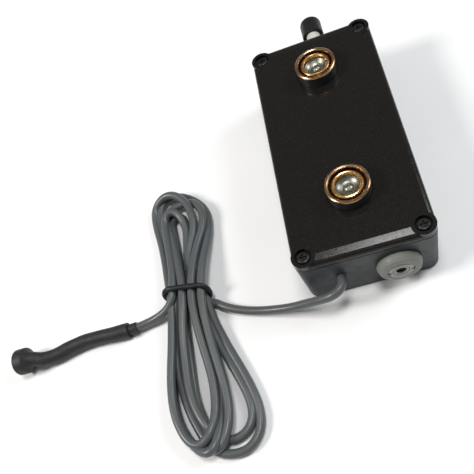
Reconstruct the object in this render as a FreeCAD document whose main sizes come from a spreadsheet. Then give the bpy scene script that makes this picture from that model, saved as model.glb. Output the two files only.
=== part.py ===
import FreeCAD, Part
import math
import os
import re
import Sketcher

# Ultrasonic distance sensor: a flat black plastic case with two round ultrasonic transducers
# standing out of its lid, an audio jack in a grey rubber surround and a grey lead in its front
# wall, and a range knob on its rear wall. The lead is folded into a hank held by a rubber ring
# and ends in a small sleeved vibrating head.
# Frame: millimetres, origin at the centre of the case's flat underside, +Z up through the lid,
# -Y out of the front wall, +X to the right when the front wall is faced.

Vector = FreeCAD.Vector
doc = FreeCAD.newDocument("ultrasonic_distance_sensor")

# ---------------------------------------------------------------- driving dimensions
DIMENSIONS = {
    # case
    "case_width": 50.0,
    "case_length": 104.0,
    "base_height": 25.0,
    "lid_height": 3.0,
    "lid_plate": 2.0,
    "wall": 2.0,
    "draft": 0.5,
    "corner_round": 4.3,
    "panel_inset": 4.2,
    "shoulder_inset": 1.7,
    "shoulder_drop": 0.4,
    "joint_chamfer": 0.3,
    "foot_round": 0.7,
    "lip_depth": 1.4,
    "post_radius": 3.3,
    "pilot_radius": 1.5,
    "pilot_depth": 18.0,
    "screw_head_radius": 2.3,
    "screw_head_height": 1.3,
    "screw_shank_radius": 1.45,
    "screw_length": 16.0,
    "screw_recess_radius": 3.0,
    "screw_recess_depth": 1.6,
    "cross_width": 0.55,
    "cross_reach": 1.35,
    "cross_depth": 0.8,
    # transducers
    "sensor_x": 0.3,
    "transmitter_y": -27.2,
    "receiver_y": 31.5,
    "sensor_radius": 8.1,
    "sensor_proud": 5.0,
    "sensor_sunk": 7.0,
    "sensor_bore": 8.3,
    "can_inner": 6.7,
    "can_outer": 7.25,
    "rim_thickness": 0.8,
    "horn_ring_outer": 5.85,
    "horn_ring_inner": 4.3,
    "horn_throat": 1.2,
    "dome_radius": 1.85,
    "plate_radius": 5.2,
    "plate_thickness": 0.5,
    "header_thickness": 1.5,
    "pin_radius": 0.35,
    "pin_spacing": 10.0,
    # audio jack
    "jack_x": 10.0,
    "jack_z": 13.0,
    "jack_bore": 1.8,
    "jack_depth": 14.0,
    "bushing_radius": 3.0,
    "jack_nut_radius": 4.65,
    "jack_body_radius": 5.2,
    "surround_radius": 8.1,
    "surround_front": 7.2,
    "surround_proud": 3.5,
    "surround_neck": 5.9,
    # lead
    "lead_x": -10.4,
    "lead_z": 13.8,
    "cord_diameter": 3.4,
    "bush_radius": 2.3,
    "hank_height": 8.7,
    "tie_thickness": 2.2,
    "tie_half_width": 9.6,
    "tie_low": 1.15,
    "tie_high": 9.7,
    "tie_x": -72.9,
    "tie_y": -38.8,
    "tie_lean": 18.0,
    "tie_turn": 9.0,
    "inner_sleeve_diameter": 4.3,
    "outer_sleeve_diameter": 6.1,
    # vibrating head
    "head_x": -148.0,
    "head_y": -47.8,
    "head_z": 5.7,
    "head_radius": 5.45,
    "head_half": 2.3,
    "capsule_radius": 5.1,
    "capsule_wall": 0.4,
    "rotor_radius": 4.2,
    # range control
    "knob_x": 2.4,
    "knob_z": 16.0,
    "knob_radius": 4.65,
    "knob_near": 63.8,
    "knob_far": 72.4,
    "knob_edge": 1.2,
    "shaft_radius": 3.0,
    "thread_radius": 3.75,
    "thread_end": 58.0,
    "control_radius": 6.4,
    "running_gap": 0.06,
    # electronics
    "board_width": 42.0,
    "board_front": -34.0,
    "board_rear": 37.0,
    "board_level": 12.4,
    "board_thickness": 1.6,
    "board_post_x": 17.5,
    "board_post_front": -30.0,
    "board_post_rear": 32.5,
    "board_post_radius": 2.6,
    "cell_width": 30.0,
    "cell_length": 48.0,
    "cell_thickness": 6.0,
}

sheet = doc.addObject("Spreadsheet::Sheet", "Dimensions")
for row, (name, number) in enumerate(DIMENSIONS.items(), start=1):
    sheet.set("A%d" % row, name)
    sheet.set("B%d" % row, str(number))
    sheet.setAlias("B%d" % row, name)
doc.recompute()

sub_parts = []


def bound(text):
    """The expression with every dimension's name pointed at its cell in the sheet."""
    return re.sub(r"[a-z][a-z_]*[a-z]", lambda word: "Dimensions." + word.group(0)
                  if word.group(0) in DIMENSIONS else word.group(0), str(text))


def size(text):
    """The expression's value as a number."""
    value = sheet.evalExpression(bound(text))
    return float(getattr(value, "Value", value))


# ---------------------------------------------------------------- building blocks
def place(item, x=0, y=0, z=0):
    for letter, text in (("x", x), ("y", y), ("z", z)):
        item.setExpression("Placement.Base." + letter, bound(text))


def new_body(label):
    body = doc.addObject("PartDesign::Body", label)
    body.Label = label
    body.AllowCompound = True
    sub_parts.append(body)
    return body


def new_sketch(body, name, role, offset=0):
    """A sketch on one of the body's own origin planes, moved along its normal by offset."""
    sketch = body.newObject("Sketcher::SketchObject", name)
    plane = [item for item in body.Origin.OriginFeatures if item.Role == role][0]
    sketch.AttachmentSupport = [(plane, "")]
    sketch.MapMode = "FlatFace"
    sketch.setExpression("AttachmentOffset.Base.z", bound(offset))
    return sketch


def pin_point(sketch, geometry, point, x, y):
    """Hold one point of the sketch at a pair of expressions."""
    for kind, text in (("DistanceX", x), ("DistanceY", y)):
        number = sketch.addConstraint(Sketcher.Constraint(kind, -1, 1, geometry, point, size(text)))
        sketch.setExpression("Constraints[%d]" % number, bound(text))


def add_outline(sketch, corners):
    """A closed outline of straight lines through corners given as expressions."""
    spots = [Vector(size(x), size(y), 0) for x, y in corners]
    first = sketch.GeometryCount
    count = len(spots)
    for index in range(count):
        sketch.addGeometry(Part.LineSegment(spots[index], spots[(index + 1) % count]))
    for index, (x, y) in enumerate(corners):
        following = first + (index + 1) % count
        sketch.addConstraint(Sketcher.Constraint("Coincident", first + index, 2, following, 1))
        pin_point(sketch, first + index, 1, x, y)


def add_box(sketch, left, low, right, high):
    add_outline(sketch, [(left, low), (right, low), (right, high), (left, high)])


def add_circle(sketch, x, y, radius):
    centre = Vector(size(x), size(y), 0)
    number = sketch.addGeometry(Part.Circle(centre, Vector(0, 0, 1), size(radius)))
    pin_point(sketch, number, 3, x, y)
    rule = sketch.addConstraint(Sketcher.Constraint("Radius", number, size(radius)))
    sketch.setExpression("Constraints[%d]" % rule, bound(radius))


def pad(body, sketch, length, taper=None, reverse=False):
    feature = body.newObject("PartDesign::Pad", sketch.Name + "_pad")
    feature.Profile = sketch
    feature.setExpression("Length", bound(length))
    if taper:
        feature.setExpression("TaperAngle", bound(taper))
    feature.Reversed = reverse
    sketch.Visibility = False
    doc.recompute()
    return feature


def pocket(body, sketch, length, reverse=False):
    """A pocket, which must really take something away."""
    before = body.Shape.Volume
    feature = body.newObject("PartDesign::Pocket", sketch.Name + "_pocket")
    feature.Profile = sketch
    feature.setExpression("Length", bound(length))
    feature.Reversed = reverse
    doc.recompute()
    if feature.Shape.Volume >= before - 1e-6:
        raise RuntimeError("%s: %s takes nothing away" % (body.Label, sketch.Name))
    return feature


def two_rows(body, sketch, feature, length, count):
    """Repeat a feature along its sketch's upright axis, and mirror the row across that axis."""
    rows = body.newObject("PartDesign::MultiTransform", sketch.Name + "_rows")
    rows.Originals = [feature]
    line = body.newObject("PartDesign::LinearPattern", sketch.Name + "_line")
    line.Direction = (sketch, ["V_Axis"])
    line.Length = length
    line.Occurrences = count
    mirror = body.newObject("PartDesign::Mirrored", sketch.Name + "_mirror")
    mirror.MirrorPlane = (sketch, ["V_Axis"])
    rows.Transformations = [line, mirror]
    body.Tip = rows
    doc.recompute()


def edges_where(feature, wanted):
    """Names of the feature's edges whose bounding box passes the test."""
    return ["Edge%d" % number for number, edge in enumerate(feature.Shape.Edges, start=1)
            if wanted(edge.BoundBox)]


def dress(body, kind, base, names, amount):
    """A fillet or chamfer of one amount over the named edges."""
    feature = body.newObject("PartDesign::" + kind, base.Name + "_" + kind.lower())
    feature.Base = (base, names)
    feature.setExpression("Radius" if kind == "Fillet" else "Size", bound(amount))
    doc.recompute()
    return feature


def turned(label, profile, axis="Z", x=0, y=0, z=0):
    """A body turned about its own Z or Y axis from (radius, height) corners."""
    body = new_body(label)
    sketch = new_sketch(body, label + "_profile", "XZ_Plane" if axis == "Z" else "XY_Plane")
    add_outline(sketch, profile)
    feature = body.newObject("PartDesign::Revolution", label + "_turn")
    feature.Profile = sketch
    feature.ReferenceAxis = (sketch, ["V_Axis"])
    feature.Angle = 360
    place(body, x, y, z)
    doc.recompute()
    return body


def ring(inner, outer, low, high):
    """The profile of a plain ring."""
    return [(inner, low), (outer, low), (outer, high), (inner, high)]


def prism(label, role, offset, length, draw, reverse=False):
    """A body padded from one sketch, which the draw function fills."""
    body = new_body(label)
    sketch = new_sketch(body, label + "_outline", role, offset)
    draw(sketch)
    pad(body, sketch, length, reverse=reverse)
    return body


def add_pocket(body, name, role, offset, length, draw, reverse=False):
    sketch = new_sketch(body, name, role, offset)
    draw(sketch)
    return pocket(body, sketch, length, reverse)


# ---------------------------------------------------------------- case
HALF_WIDTH = "case_width/2"
HALF_LENGTH = "case_length/2"
CORNERS = [(side_x + "(case_width/2 - corner_round)", side_y + "(case_length/2 - corner_round)")
           for side_x in ("-", "") for side_y in ("-", "")]
BOARD_POSTS = [(side + "board_post_x", level) for side in ("-", "")
               for level in ("board_post_front", "board_post_rear")]


def draw_circles(centres, radius):
    def draw(sketch):
        for x, y in centres:
            add_circle(sketch, x, y, radius)
    return draw


def draw_boxes(boxes):
    def draw(sketch):
        for left, low, right, high in boxes:
            add_box(sketch, left, low, right, high)
    return draw


def centred_box(half_x, half_y):
    return [("-(%s)" % half_x, "-(%s)" % half_y, half_x, half_y)]


def make_base_shell():
    body = new_body("base_shell")
    outline = new_sketch(body, "base_outline", "XY_Plane")
    draw_boxes(centred_box("case_width/2 - draft", "case_length/2 - draft"))(outline)
    block = pad(body, outline, "base_height", taper="atan(draft/base_height)")
    upright = edges_where(block, lambda box: box.ZLength > size("base_height")*0.9)
    rounded = dress(body, "Fillet", block, upright, "corner_round")
    sole = edges_where(rounded, lambda box: box.ZMax < 0.01)
    footed = dress(body, "Fillet", rounded, sole, "foot_round")
    top = size("base_height") - 0.01
    dress(body, "Chamfer", footed, edges_where(footed, lambda box: box.ZMin > top), "joint_chamfer")
    add_pocket(body, "base_cavity", "XY_Plane", "base_height", "base_height - wall",
               draw_boxes(centred_box("case_width/2 - wall", "case_length/2 - wall")))

    posts = new_sketch(body, "corner_posts", "XY_Plane", "wall")
    draw_circles(CORNERS, "post_radius")(posts)
    pad(body, posts, "base_height - wall")
    board_posts = new_sketch(body, "board_posts", "XY_Plane", "wall")
    draw_circles(BOARD_POSTS, "board_post_radius")(board_posts)
    pad(body, board_posts, "board_level - wall")

    rib = new_sketch(body, "wall_rib", "XY_Plane", "wall")
    add_box(rib, "case_width/2 - wall - 0.9", "-36.6", "case_width/2 - wall + 0.2", "-35.4")
    rib_pad = pad(body, rib, "base_height - wall - lip_depth - 1.5")
    two_rows(body, rib, rib_pad, 72, 7)

    add_pocket(body, "screw_pilots", "XY_Plane", "base_height", "pilot_depth",
               draw_circles(CORNERS, "pilot_radius"))
    add_pocket(body, "board_pilots", "XY_Plane", "board_level", "8",
               draw_circles(BOARD_POSTS, "1.05"))
    add_pocket(body, "jack_opening", "XZ_Plane", "case_length/2 + 1", "wall + 1.5",
               draw_circles([("jack_x", "jack_z")], "surround_neck + 0.1"))
    add_pocket(body, "lead_opening", "XZ_Plane", "case_length/2 + 1", "wall + 1.5",
               draw_circles([("lead_x", "lead_z")], "bush_radius"))
    add_pocket(body, "control_opening", "XZ_Plane", "-(case_length/2 + 1)", "wall + 1.5",
               draw_circles([("knob_x", "knob_z")], "thread_radius + 0.15"), reverse=True)
    return body


def draw_shoulders(half):
    """What is taken off a lid's two sides: a shallow bevel round the flat panel, then a
    rounded shoulder down to the upright rim."""
    steps = [("panel_inset", "0"), ("shoulder_inset", "shoulder_drop"), ("0.95", "0.7"),
             ("0.4", "1.15"), ("0.1", "1.7"), ("0", "2.2"), ("-0.6", "2.2"), ("-0.6", "-0.6"),
             ("panel_inset", "-0.6")]

    def draw(sketch):
        for side in ("", "-"):
            add_outline(sketch, [("%s(%s - (%s))" % (side, half, inset), LID_TOP + " - (%s)" % drop)
                                 for inset, drop in steps])
    return draw


def make_lid():
    body = new_body("lid")
    outline = new_sketch(body, "lid_outline", "XY_Plane", "base_height")
    draw_boxes(centred_box(HALF_WIDTH, HALF_LENGTH))(outline)
    slab = pad(body, outline, "lid_height")
    upright = edges_where(slab, lambda box: box.ZLength > size("lid_height")*0.9)
    rounded = dress(body, "Fillet", slab, upright, "corner_round")
    seam = size("base_height") + 0.01
    dress(body, "Chamfer", rounded,
          edges_where(rounded, lambda box: box.ZMax < seam), "joint_chamfer")
    add_pocket(body, "long_shoulders", "XZ_Plane", "-(case_length/2 + 1)", "case_length + 2",
               draw_shoulders(HALF_WIDTH), reverse=True)
    add_pocket(body, "short_shoulders", "YZ_Plane", "case_width/2 + 1", "case_width + 2",
               draw_shoulders(HALF_LENGTH))
    add_pocket(body, "lid_cavity", "XY_Plane", "base_height", "lid_height - lid_plate",
               draw_boxes(centred_box("case_width/2 - wall", "case_length/2 - wall")),
               reverse=True)

    pads = new_sketch(body, "corner_pads", "XY_Plane", "base_height + joint_chamfer")
    draw_circles(CORNERS, "corner_round")(pads)
    pad(body, pads, "lid_height - joint_chamfer")
    lips = new_sketch(body, "lid_lips", "XY_Plane", "base_height - lip_depth")
    for side in (-1, 1):
        inner = "%d*(case_width/2 - wall - 1.1)" % side
        outer = "%d*(case_width/2 - wall - 0.1)" % side
        low, high = (outer, inner) if side < 0 else (inner, outer)
        add_box(lips, low, "-38", high, "38")
    pad(body, lips, "lip_depth + lid_height - lid_plate + 0.2")

    add_pocket(body, "screw_recesses", "XY_Plane", "base_height + lid_height",
               "screw_recess_depth", draw_circles(CORNERS, "screw_recess_radius"))
    add_pocket(body, "screw_clearances", "XY_Plane", "base_height + lid_height",
               "lid_height + 0.5", draw_circles(CORNERS, "screw_shank_radius + 0.15"))
    add_pocket(body, "sensor_openings", "XY_Plane", "base_height + lid_height",
               "lid_plate + 0.5",
               draw_circles([("sensor_x", "transmitter_y"), ("sensor_x", "receiver_y")],
                            "sensor_bore"))
    return body


def cross_boxes(centres):
    """The two bars of a cross recess at each centre, as one twelve-cornered outline."""
    outlines = []
    for x, y in centres:
        corners = []
        for turn in range(4):
            for along, across in (("cross_reach", "-cross_width/2"), ("cross_reach", "cross_width/2"),
                                  ("cross_width/2", "cross_width/2")):
                pair = [(along, across), ("-(%s)" % across, along),
                        ("-(%s)" % along, "-(%s)" % across), (across, "-(%s)" % along)][turn]
                corners.append(("%s + %s" % (x, pair[0]), "%s + %s" % (y, pair[1])))
        outlines.append(corners)
    return outlines


def make_screws(label, centres, seat, shank_radius, shank_length, head_radius, head_height):
    """Identical cross-head screws, upright, their heads resting on the level called seat."""
    body = new_body(label)
    heads = new_sketch(body, label + "_heads", "XY_Plane", seat)
    draw_circles(centres, head_radius)(heads)
    head_pad = pad(body, heads, head_height)
    crown = size("%s + %s" % (seat, head_height)) - 0.01
    dress(body, "Fillet", head_pad, edges_where(head_pad, lambda box: box.ZMin > crown),
          "0.45*(%s)" % head_height)
    shanks = new_sketch(body, label + "_shanks", "XY_Plane", "%s + 0.1" % seat)
    draw_circles(centres, shank_radius)(shanks)
    pad(body, shanks, "%s + 0.1" % shank_length, reverse=True)

    def draw_crosses(sketch):
        for corners in cross_boxes(centres):
            add_outline(sketch, corners)

    add_pocket(body, label + "_crosses", "XY_Plane", "%s + %s" % (seat, head_height),
               "cross_depth", draw_crosses)
    return body


# ---------------------------------------------------------------- transducers
LID_TOP = "base_height + lid_height"


def make_transducer(name, y):
    """One open transducer: a sleeved metal can with a bright rim round a ringed horn."""
    spot = {"x": "sensor_x", "y": y, "z": LID_TOP}
    under_rim = "sensor_proud - rim_thickness"
    turned(name + "_collar", ring("can_outer", "sensor_radius", "-sensor_sunk", under_rim), **spot)
    turned(name + "_can", [
        ("can_inner", "-sensor_sunk + 0.5"), ("can_outer", "-sensor_sunk + 0.5"),
        ("can_outer", under_rim), ("sensor_radius", under_rim),
        ("sensor_radius", "sensor_proud - 0.5"), ("sensor_radius - 0.12", "sensor_proud - 0.2"),
        ("sensor_radius - 0.4", "sensor_proud"), ("can_inner + 0.55", "sensor_proud"),
        ("can_inner + 0.2", "sensor_proud - 0.15"), ("can_inner", "sensor_proud - 0.5")], **spot)
    turned(name + "_ring", [
        ("horn_ring_inner", "2.9"), ("horn_ring_outer", "2.9"), ("horn_ring_outer", "3.9"),
        ("horn_ring_outer - 0.12", "4.25"), ("horn_ring_outer - 0.4", "4.52"),
        ("horn_ring_outer - 0.78", "4.62"), ("horn_ring_inner + 0.4", "4.5"),
        ("horn_ring_inner + 0.12", "4.2"), ("horn_ring_inner", "3.8")], **spot)
    turned(name + "_cone", [
        ("0", "-2.0"), ("horn_throat", "-2.0"), ("horn_throat + 0.5", "-1.5"),
        ("horn_ring_inner + 0.9", "2.9"), ("horn_ring_inner + 0.1", "2.9"),
        ("horn_ring_inner - 0.5", "2.3"), ("horn_ring_inner - 1.3", "1.75"),
        ("dome_radius + 0.4", "1.45"), ("dome_radius + 0.1", "1.45"), ("dome_radius*0.93", "1.9"),
        ("dome_radius*0.75", "2.3"), ("dome_radius*0.45", "2.6"), ("0", "2.72")], **spot)
    turned(name + "_plate", [
        ("0", "-2.0 - plate_thickness - 0.4"), ("plate_radius - 1", "-2.0 - plate_thickness - 0.4"),
        ("plate_radius - 1", "-2.0 - plate_thickness"), ("plate_radius", "-2.0 - plate_thickness"),
        ("plate_radius", "-2.0"), ("0", "-2.0")], **spot)
    header = prism(name + "_header", "XY_Plane", "-sensor_sunk + 0.5", "header_thickness",
                   lambda sketch: add_circle(sketch, "0", "0", "can_inner"))
    studs = new_sketch(header, name + "_studs", "XY_Plane", "-sensor_sunk + 1")
    draw_circles([("2.6*cos(%d)" % angle, "2.6*sin(%d)" % angle) for angle in (90, 210, 330)],
                 "0.7")(studs)
    pad(header, studs, "sensor_sunk - 1 - 2.9 - plate_thickness")
    pins_at = [("-pin_spacing/2", "0"), ("pin_spacing/2", "0")]
    add_pocket(header, name + "_pin_holes", "XY_Plane", "0", "sensor_sunk",
               draw_circles(pins_at, "pin_radius"))
    place(header, **spot)
    pins = prism(name + "_pins", "XY_Plane", "board_level - 0.3 - base_height - lid_height",
                 "base_height + lid_height - board_level + 0.3 - sensor_sunk + 2.3",
                 draw_circles(pins_at, "pin_radius"))
    place(pins, **spot)


# ---------------------------------------------------------------- audio jack
FRONT_WALL = "-(case_length/2 - 0.15)"


def make_jack():
    """The jack stands in a rubber surround that grips the front wall. Local +Y runs inwards."""
    spot = {"x": "jack_x", "y": FRONT_WALL, "z": "jack_z", "axis": "Y"}
    face = "-surround_proud"
    turned("jack_surround", [
        ("bushing_radius + 0.03", "3.6"), ("surround_radius - 0.9", "3.6"),
        ("surround_radius - 0.9", "2.25"), ("surround_neck", "2.25"), ("surround_neck", "0"),
        ("surround_radius - 0.25", "0"), ("surround_radius", "-0.5"),
        ("surround_radius - 0.05", "-1.3"), ("surround_radius - 0.35", "-2.2"),
        ("surround_front + 0.1", face + " + 0.35"), ("surround_front - 0.5", face),
        ("jack_nut_radius + 0.15", face), ("jack_nut_radius + 0.15", face + " + 1.75"),
        ("bushing_radius + 0.03", face + " + 1.75")], **spot)
    nut = turned("jack_nut", [
        ("bushing_radius + 0.02", face + " + 1.7"), ("jack_nut_radius", face + " + 1.7"),
        ("jack_nut_radius", face + " + 0.1"), ("jack_nut_radius - 0.3", face + " - 0.2"),
        ("bushing_radius + 0.5", face + " - 0.2"), ("bushing_radius + 0.02", face + " + 0.1")],
        **spot)
    nut_slots = new_sketch(nut, "nut_slots", "XY_Plane", "0.45")
    for side in (-1, 1):
        near, far = ("3.5", "5.2") if side > 0 else ("-5.2", "-3.5")
        add_box(nut_slots, near, face + " - 0.5", far, face + " + 0.5")
    pocket(nut, nut_slots, "0.9")
    turned("jack_bushing", [
        ("jack_bore", face + " + 0.3"), ("jack_bore + 0.3", face), ("bushing_radius - 0.3", face),
        ("bushing_radius", face + " + 0.3"), ("bushing_radius", "3.65"),
        ("jack_body_radius - 0.4", "3.65"), ("jack_body_radius - 0.4", "4.3"),
        ("jack_bore", "4.3")], **spot)
    turned("jack_body", [
        ("jack_bore", "4.3"), ("jack_body_radius", "4.3"), ("jack_body_radius", "15.6"),
        ("jack_bore + 0.6", "15.6"), ("jack_bore + 0.6", face + " + jack_depth + 0.3"),
        ("jack_bore", face + " + jack_depth + 0.3")], **spot)
    turned("jack_contact", [
        ("0", face + " + jack_depth + 0.4"), ("0.7", face + " + jack_depth + 0.6"),
        ("1.1", face + " + jack_depth + 1.2"), ("jack_bore + 0.58", face + " + jack_depth + 1.6"),
        ("jack_bore + 0.58", "15.6"), ("0", "15.6")], **spot)
    lugs = prism("jack_lugs", "XZ_Plane", "-15.6", "4.2", draw_boxes([
        ("-0.8", "2.6", "0.8", "2.9"), ("2.7", "-2.4", "3.0", "-0.8"),
        ("-3.0", "-2.4", "-2.7", "-0.8")]), reverse=True)
    place(lugs, "jack_x", FRONT_WALL, "jack_z")


# ---------------------------------------------------------------- range control
def make_range_control():
    spot = {"x": "knob_x", "z": "knob_z", "axis": "Y"}
    inner_face = "case_length/2 - wall - 0.1"
    back = "case_length/2 - wall - 9.5"
    turned("control_cover", [
        ("0", back), ("control_radius", back), ("control_radius", inner_face + " - 1"),
        ("control_radius - 0.5", inner_face + " - 1"), ("control_radius - 0.5", back + " + 0.5"),
        ("0", back + " + 0.5")], **spot)
    turned("control_track", ring("2.4", "control_radius - 0.55", back + " + 0.5", back + " + 1.3"),
           **spot)
    turned("control_bushing", [
        ("shaft_radius + running_gap", inner_face + " - 1"), ("control_radius", inner_face + " - 1"),
        ("control_radius", inner_face), ("thread_radius", inner_face),
        ("thread_radius", "thread_end - 0.5"), ("thread_radius - 0.4", "thread_end"),
        ("shaft_radius + running_gap", "thread_end")], **spot)
    turned("control_washer", ring("thread_radius + 0.1", "5.6", "case_length/2 + 0.02",
                                  "case_length/2 + 0.6"), **spot)

    nut = new_body("control_nut")
    hexagon = new_sketch(nut, "nut_hexagon", "XZ_Plane", "-(case_length/2 + 0.6)")
    add_outline(hexagon, [("5.7*cos(%d)" % angle, "5.7*sin(%d)" % angle)
                          for angle in range(0, 360, 60)])
    pad(nut, hexagon, "2.2", reverse=True)
    add_pocket(nut, "nut_thread", "XZ_Plane", "-(case_length/2)", "3.2",
               draw_circles([("0", "0")], "thread_radius + 0.02"), reverse=False)
    place(nut, "knob_x", "0", "knob_z")

    shaft = turned("control_shaft", [
        ("0", back + " + 2.6"), ("1.2", back + " + 2.6"), ("1.2", back + " + 4.2"),
        ("shaft_radius", back + " + 4.2"), ("shaft_radius", "knob_near + 5.9"),
        ("shaft_radius - 0.4", "knob_near + 6.3"), ("0", "knob_near + 6.3")], **spot)
    flat = new_sketch(shaft, "shaft_flat", "XZ_Plane", "-(knob_near + 7)")
    add_box(flat, "-4", "shaft_radius - 0.7", "4", "shaft_radius + 1")
    pocket(shaft, flat, "6.2", reverse=True)

    wiper = turned("control_wiper", ring("1.22", "4.9", back + " + 2.7", back + " + 3.5"), **spot)
    arm = new_sketch(wiper, "wiper_arm", "XZ_Plane", "-(%s + 3)" % back)
    add_box(arm, "-0.7", "3.6", "0.7", "4.8")
    pad(wiper, arm, "1.2")

    knob = turned("range_knob", [
        ("0", "knob_near + 6.6"), ("shaft_radius + 0.02", "knob_near + 6.6"),
        ("shaft_radius + 0.02", "knob_near"), ("knob_radius - 0.2", "knob_near"),
        ("knob_radius", "knob_near + 0.2"), ("knob_radius", "knob_far - knob_edge"),
        ("knob_radius - knob_edge*0.12", "knob_far - knob_edge*0.5"),
        ("knob_radius - knob_edge*0.5", "knob_far - knob_edge*0.12"),
        ("knob_radius - knob_edge", "knob_far"), ("0", "knob_far")], **spot)
    pointer = new_sketch(knob, "pointer_groove", "XZ_Plane", "-(knob_far + 0.5)")
    add_box(pointer, "-0.35", "0.6", "0.35", "knob_radius + 0.5")
    pocket(knob, pointer, "0.9", reverse=True)

    lugs = prism("control_lugs", "XZ_Plane", "-(%s + 0.55)" % back, "0.6", draw_boxes([
        ("%d - 0.9" % x, "-control_radius - 5", "%d + 0.9" % x, "-control_radius + 0.02")
        for x in (-4, 0, 4)]), reverse=True)
    place(lugs, "knob_x", "0", "knob_z - 0.05")


# ---------------------------------------------------------------- electronics
BOARD_TOP = "board_level + board_thickness"


def make_chip(label, x, y, half_width, pin_count):
    """A two-row chip body standing on its legs, its rows along Y."""
    half_length = 1.27*pin_count/2 + 0.3
    body = prism(label, "XY_Plane", BOARD_TOP + " + 0.5", "3.2", draw_boxes([
        (str(-half_width), str(-half_length), str(half_width), str(half_length))]))
    leg = new_sketch(body, label + "_leg", "XY_Plane", BOARD_TOP)
    first = -half_length + 0.3 + 0.635
    add_box(leg, str(half_width - 0.01), str(first - 0.25), str(half_width + 0.6), str(first + 0.25))
    leg_pad = pad(body, leg, "2.2")
    two_rows(body, leg, leg_pad, 1.27*(pin_count - 1), pin_count)
    place(body, x, y, "0")
    return body


def make_electronics():
    board = prism("circuit_board", "XY_Plane", "board_level", "board_thickness", draw_boxes([
        ("-board_width/2", "board_front", "board_width/2", "board_rear")]))
    add_pocket(board, "board_screw_holes", "XY_Plane", BOARD_TOP, "board_thickness + 1",
               draw_circles(BOARD_POSTS, "1.3"))
    add_pocket(board, "board_pin_holes", "XY_Plane", BOARD_TOP, "board_thickness + 1",
               draw_circles([("sensor_x + %s" % side, y) for y in ("transmitter_y", "receiver_y")
                             for side in ("pin_spacing/2", "-pin_spacing/2")], "pin_radius + 0.1"))
    make_chip("controller_chip", "-11", "0", 3.1, 9)
    make_chip("amplifier_chip", "11", "12", 3.1, 4)
    prism("crystal", "XY_Plane", BOARD_TOP, "3.4",
          draw_boxes([("-3.4", "-10.6", "1.6", "-8.6")]))
    capacitors = new_body("capacitors")
    low_cans = new_sketch(capacitors, "capacitor_cans", "XY_Plane", BOARD_TOP)
    draw_circles([("15", "-14"), ("15", "-6.5"), ("-16", "18")], "2.5")(low_cans)
    cans = pad(capacitors, low_cans, "7.5")
    rim = size(BOARD_TOP) + 7.49
    dress(capacitors, "Fillet", cans, edges_where(cans, lambda box: box.ZMin > rim), "0.5")
    prism("resistors", "XZ_Plane", "-19", "6", draw_circles(
        [("%g" % (-7 + 3*step), BOARD_TOP + " + 1.05") for step in range(5)], "1.0"))
    transformer = prism("driver_transformer", "XY_Plane", BOARD_TOP, "6.4", draw_boxes([
        ("3", "-9", "10", "-2")]))
    lid_edge = size(BOARD_TOP) + 6.39
    tip = transformer.Tip
    dress(transformer, "Fillet", tip, edges_where(tip, lambda box: box.ZMin > lid_edge), "0.6")
    prism("voltage_regulator", "XY_Plane", BOARD_TOP + " + 1", "4.6", lambda sketch: add_outline(
        sketch, [("14", "3.4"), ("18.4", "3.4"), ("18.4", "5"), ("17.4", "6.4"), ("15", "6.4"),
                 ("14", "5")]))
    header = prism("lead_header", "XY_Plane", BOARD_TOP, "5.6", draw_boxes([
        ("-17", "-22", "-9", "-17")]))
    add_pocket(header, "header_mouth", "XY_Plane", BOARD_TOP + " + 5.6", "4.6",
               draw_boxes([("-16.2", "-21.2", "-9.8", "-18.2")]))
    make_screws("board_screws", BOARD_POSTS, BOARD_TOP, "1.0", "7", "2.2", "1.3")
    prism("battery_cell", "XY_Plane", "wall + 1", "cell_thickness", draw_boxes(
        centred_box("cell_width/2", "cell_length/2")))
    prism("battery_pad", "XY_Plane", "wall", "1", draw_boxes(
        centred_box("cell_width/2 - 1", "cell_length/2 - 2")))


# ---------------------------------------------------------------- lead, hank and head
LEAD_ROUTE = [
    (-10.4, -52.0, 13.8), (-10.6, -54.6, 14.0), (-12.3, -57.0, 14.1), (-15.4, -58.1, 13.3),
    (-19.6, -57.5, 11.2), (-25.4, -56.1, 8.2), (-32.4, -54.7, 5.0), (-40.4, -52.6, 2.7),
    (-47.8, -50.6, 1.85), (-54.2, -48.2, 1.72), (-59.3, -45.4, 1.75), (-63.0, -42.4, 1.75),
    (-65.4, -39.6, 1.75)]
TAIL_ROUTE = [
    (-80.4, -40.8, 5.9), (-83.0, -42.4, 5.1), (-86.5, -43.5, 4.0), (-91.2, -44.3, 2.9),
    (-96.7, -45.1, 2.4),
    (-102.9, -45.5, 3.05), (-110.6, -45.2, 3.15), (-119.0, -44.8, 3.15), (-127.0, -46.1, 3.2),
    (-134.2, -48.4, 3.6), (-139.5, -48.8, 4.7), (-143.5, -47.9, 5.75)]
INNER_SLEEVE_RUNS = (4, 6)
OUTER_SLEEVE_RUNS = (5, 11)
HEAD_AXIS = Vector(-0.999, 0.011, -0.04)


def bend_radii(points):
    """The radius at each inner point: as large as the two runs beside it allow."""
    radii = []
    for before, here, after in zip(points, points[1:], points[2:]):
        arriving = here - before
        leaving = after - here
        turn = arriving.getAngle(leaving)
        radii.append(0.45*min(arriving.Length, leaving.Length)/math.tan(turn/2))
    return radii


def route_wire(points, radii):
    """Straight runs joined by tangent arcs."""
    edges = []
    start = points[0]
    for before, here, after, radius in zip(points, points[1:], points[2:], radii):
        arriving = (here - before).normalize()
        leaving = (after - here).normalize()
        turn = arriving.getAngle(leaving)
        reach = radius*math.tan(turn/2)
        arc_start = here - arriving*reach
        arc_end = here + leaving*reach
        inward = (leaving - arriving).normalize()
        middle = here + inward*(radius/math.cos(turn/2) - radius)
        edges.append(Part.LineSegment(start, arc_start).toShape())
        edges.append(Part.Arc(arc_start, middle, arc_end).toShape())
        start = arc_end
    edges.append(Part.LineSegment(start, points[-1]).toShape())
    return Part.Wire(edges)


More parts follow.
